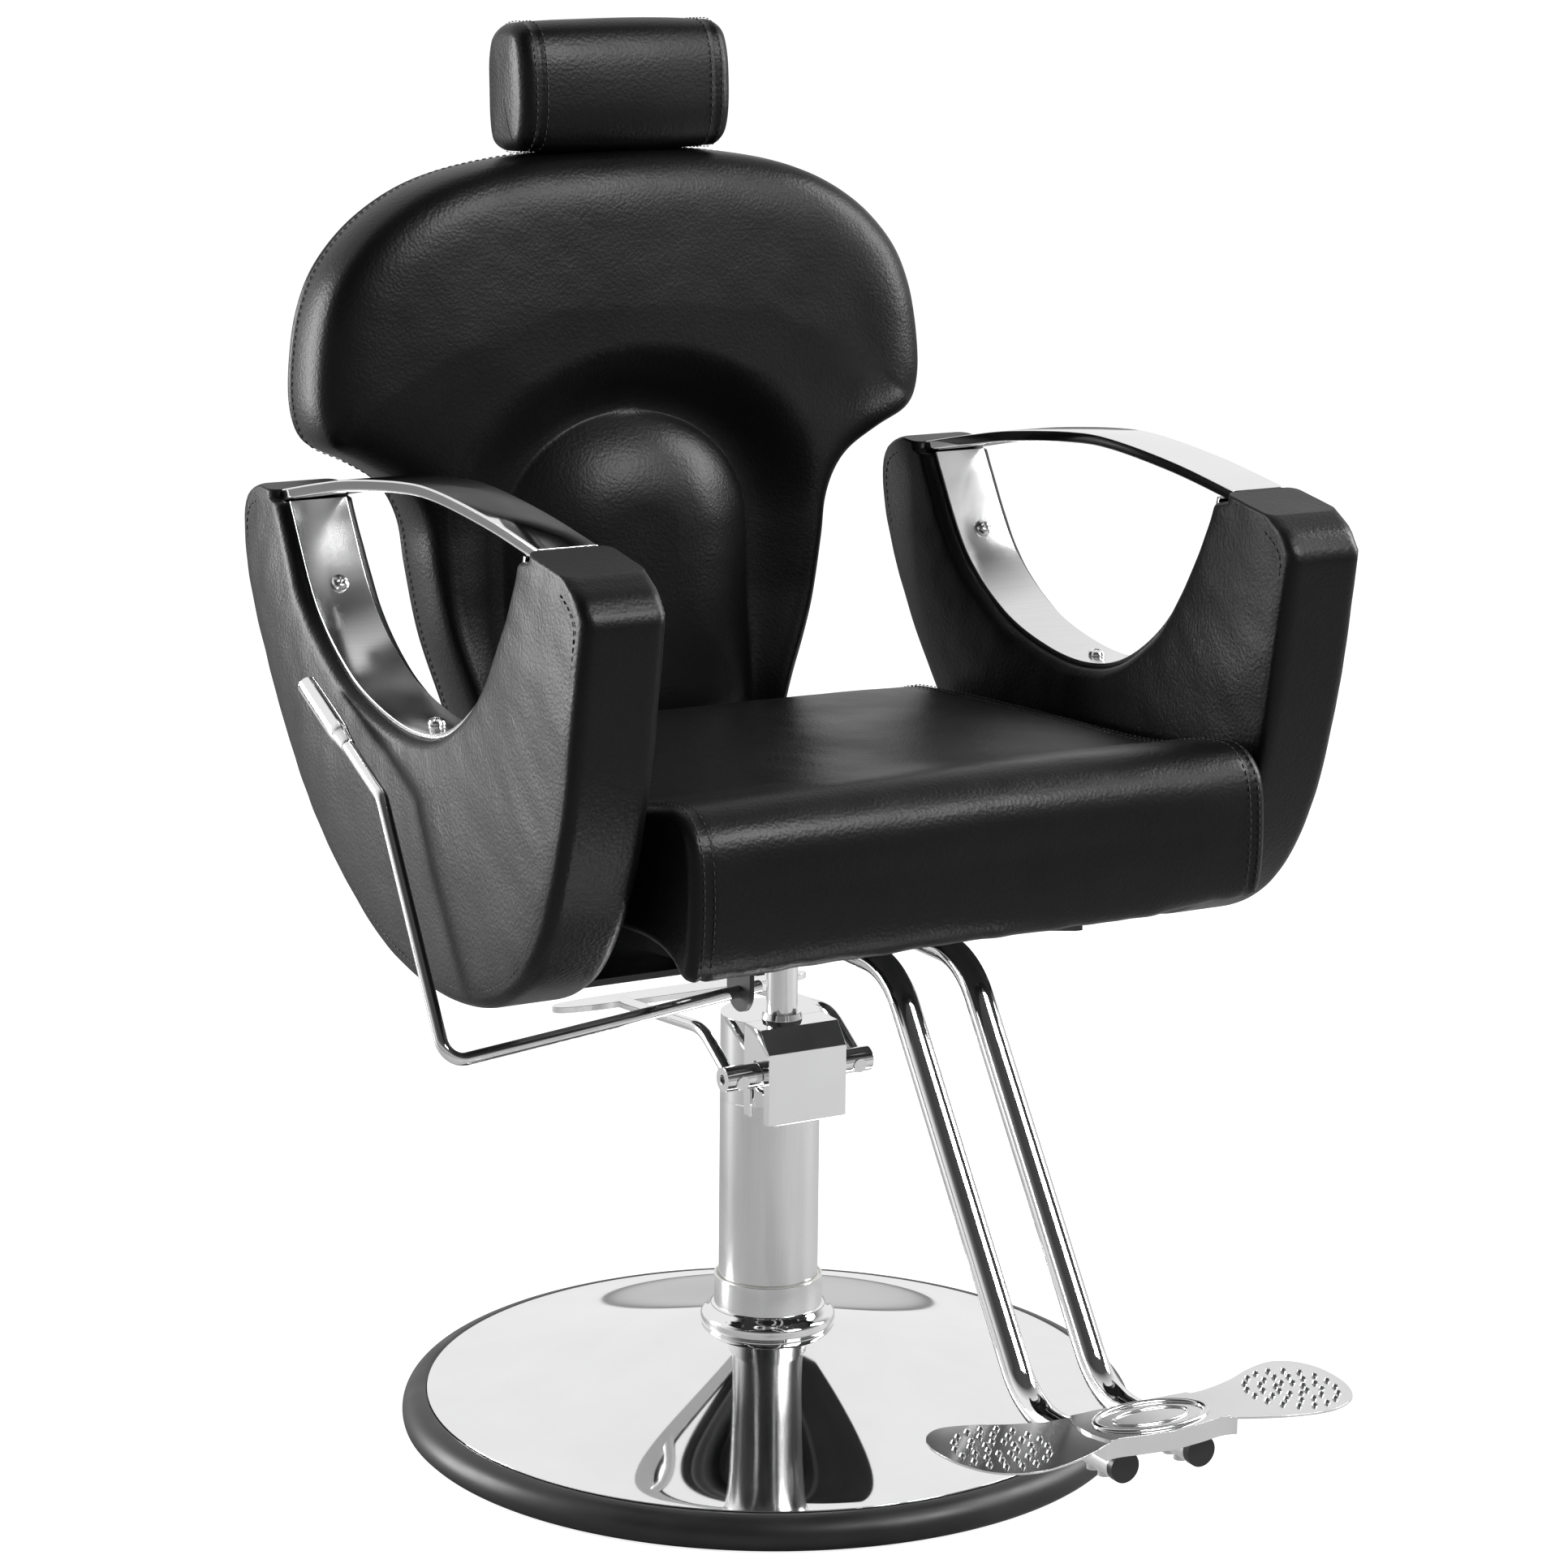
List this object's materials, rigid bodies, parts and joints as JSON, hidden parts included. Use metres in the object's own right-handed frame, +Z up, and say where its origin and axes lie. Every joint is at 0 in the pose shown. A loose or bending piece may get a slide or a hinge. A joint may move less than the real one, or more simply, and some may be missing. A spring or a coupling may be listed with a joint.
{
  "type": "hydraulic barber chair",
  "caption": "Padded barber chair on a round base with a foot pumped column, reclining back, sliding headrest, looped arms and a footrest.",
  "frame": {"origin": "on the floor at the centre of the round base, which is the swivel axis", "axes": "+Z up, the chair faces -Y, +X is towards the sitter's left"},
  "size_m": [0.687, 0.9073, 1.1075],
  "materials": {
    "base_chrome": "mirror polished chrome plating on a steel dome",
    "pump_chrome": "mirror polished chrome plating",
    "tube_chrome": "mirror polished chrome plating on steel rod and tube",
    "bar_chrome": "mirror polished chrome plating on a flat steel bar",
    "plate_chrome": "chrome plating on a cast plate, with small raised studs",
    "piston_chrome": "hard chrome on a ground rod",
    "screw_chrome": "bright chrome screws",
    "satin_chrome": "satin chrome",
    "strap_steel": "polished flat steel strap",
    "zinc_steel": "zinc plated steel",
    "dark_steel": "black powder coated steel",
    "black_enamel": "black enamel",
    "rim_rubber": "satin dark grey rubber",
    "seal_rubber": "smooth black rubber",
    "black_plastic": "matte black plastic",
    "bush_plastic": "natural acetal plastic",
    "plywood": "plywood",
    "dust_cloth": "black non-woven dust cloth stapled under the seat board",
    "seat_leather": "fine grained black synthetic leather, satin",
    "back_leather": "fine grained black synthetic leather, satin",
    "arm_leather": "fine grained black synthetic leather, satin",
    "head_leather": "fine grained black synthetic leather, satin"
  },
  "bodies": {
    "base": {"base_disc": "base_chrome", "base_rim": "rim_rubber", "base_plate": "dark_steel", "base_socket": "dark_steel", "socket_bolts": "zinc_steel", "base_collar": "base_chrome", "collar_band": "satin_chrome", "swivel_bush": "bush_plastic", "thrust_washer": "bush_plastic"},
    "pump": {"column_tube": "satin_chrome", "column_foot": "dark_steel", "cylinder_liner": "dark_steel", "pump_head": "pump_chrome", "pump_cover": "pump_chrome", "gland_ring": "pump_chrome", "lever_spring": "zinc_steel"},
    "pump_lever": {"pump_shaft": "pump_chrome", "pump_lever": "tube_chrome", "pump_pedal": "tube_chrome", "lever_rivets": "satin_chrome"},
    "plunger": {"pump_plunger": "zinc_steel"},
    "seat": {"piston_rod": "piston_chrome", "piston_head": "dark_steel", "piston_seal": "seal_rubber", "mount_plate": "dark_steel", "mount_bolts": "zinc_steel", "seat_frame": "dark_steel", "seat_board": "dust_cloth", "seat_cushion": "seat_leather", "arm_brackets": "dark_steel", "arm_bolts": "zinc_steel", "arm_core_right": "plywood", "arm_core_left": "plywood", "arm_pad_right": "arm_leather", "arm_pad_left": "arm_leather", "arm_strap_right": "strap_steel", "arm_strap_left": "strap_steel", "arm_bar_right": "bar_chrome", "arm_bar_left": "bar_chrome", "arm_screws_right": "screw_chrome", "arm_screws_left": "screw_chrome", "footrest_tube_right": "tube_chrome", "footrest_tube_left": "tube_chrome", "footrest_clamp": "dark_steel", "footrest_plate": "plate_chrome", "footrest_caps": "black_plastic", "footrest_screws": "zinc_steel", "lever_bracket": "dark_steel", "gas_cylinder": "black_enamel", "back_hinge_pins": "zinc_steel"},
    "gas_rod": {"gas_rod": "piston_chrome"},
    "recline_lever": {"recline_rod": "tube_chrome", "recline_grip": "tube_chrome"},
    "backrest": {"back_frame": "dark_steel", "back_board": "plywood", "back_cushion": "back_leather", "back_cover": "back_leather", "headrest_guides": "bush_plastic"},
    "headrest": {"headrest_posts": "tube_chrome", "headrest_cushion": "head_leather"}
  },
  "joints": [
    {"name": "swivel", "type": "hinge", "parent": "base", "child": "pump", "pos_m": [0, 0, 0.1], "axis": [0, 0, 1], "continuous": true},
    {"name": "lift", "type": "slide", "parent": "pump", "child": "seat", "axis": [0, 0, 1], "range_m": [0, 0.15]},
    {"name": "pedal", "type": "hinge", "parent": "pump", "child": "pump_lever", "pos_m": [0, -0.041, 0.3], "axis": [-1, 0, 0], "range_deg": [0, 25], "stiffness_Nm_per_rad": 2.5, "springref_deg": -34.38},
    {"name": "plunger_stroke", "type": "slide", "parent": "pump", "child": "plunger", "axis": [0, 1, 0], "range_m": [0, 0.009]},
    {"name": "recline", "type": "hinge", "parent": "seat", "child": "backrest", "pos_m": [0, 0.215, 0.455], "axis": [-1, 0, 0], "range_deg": [0, 40]},
    {"name": "gas_stroke", "type": "slide", "parent": "seat", "child": "gas_rod", "axis": [0, -1, 0], "range_m": [0, 0.0387]},
    {"name": "recline_lever_turn", "type": "hinge", "parent": "seat", "child": "recline_lever", "pos_m": [-0.06, -0.087, 0.3865], "axis": [0.9839, 0.1764, 0.0288], "range_deg": [0, 12], "stiffness_Nm_per_rad": 3, "springref_deg": -28.65},
    {"name": "headrest_slide", "type": "slide", "parent": "backrest", "child": "headrest", "axis": [0, 0.0436, 0.999], "range_m": [0, 0.06]}
  ],
  "couplings": [
    {"joint": "plunger_stroke", "follows": "pedal", "m_per_rad": 0.0206},
    {"joint": "gas_stroke", "follows": "recline", "m_per_rad": 0.0553}
  ]
}
